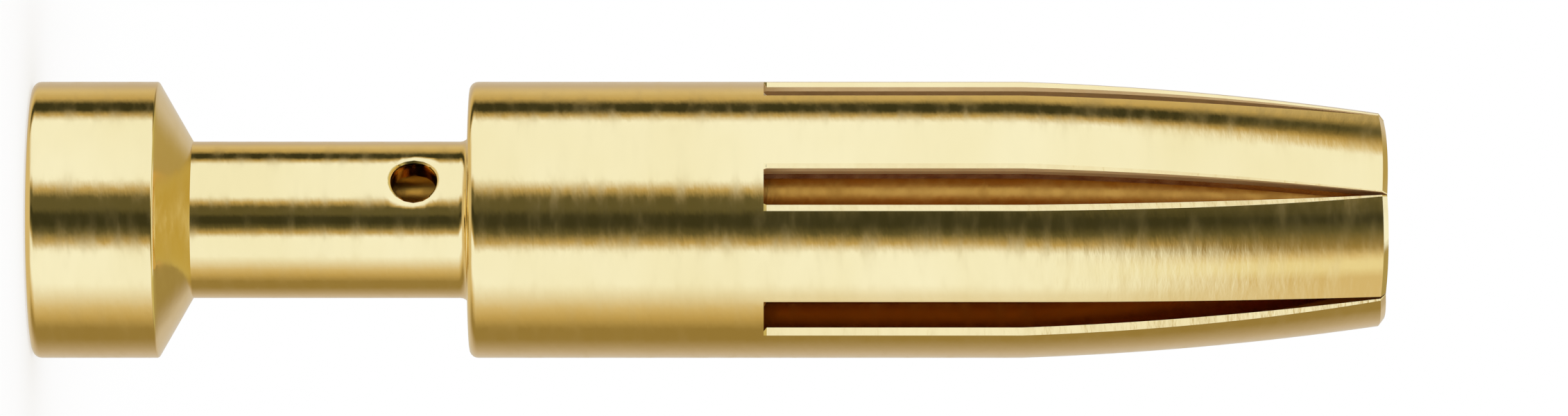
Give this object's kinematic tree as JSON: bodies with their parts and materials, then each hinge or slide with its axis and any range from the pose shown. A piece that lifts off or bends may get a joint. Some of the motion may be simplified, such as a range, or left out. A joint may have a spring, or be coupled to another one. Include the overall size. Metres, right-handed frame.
{
  "type": "crimp socket contact",
  "caption": "Round gold-plated socket contact: a collared crimp barrel with a sight hole behind a slotted socket whose tines close in at the tips to grip a round pin.",
  "frame": {"origin": "centre of the wire-entry face, on the contact's axis", "axes": "+Z along the axis from the wire entry to the tips of the tines, with the sight hole facing -Y"},
  "size_m": [0.0044, 0.0044, 0.022],
  "materials": {
    "gold_plate": "bright gold plating over a turned copper alloy, with fine turning marks round the axis"
  },
  "bodies": {
    "root": {"socket_contact": "gold_plate"}
  },
  "joints": []
}
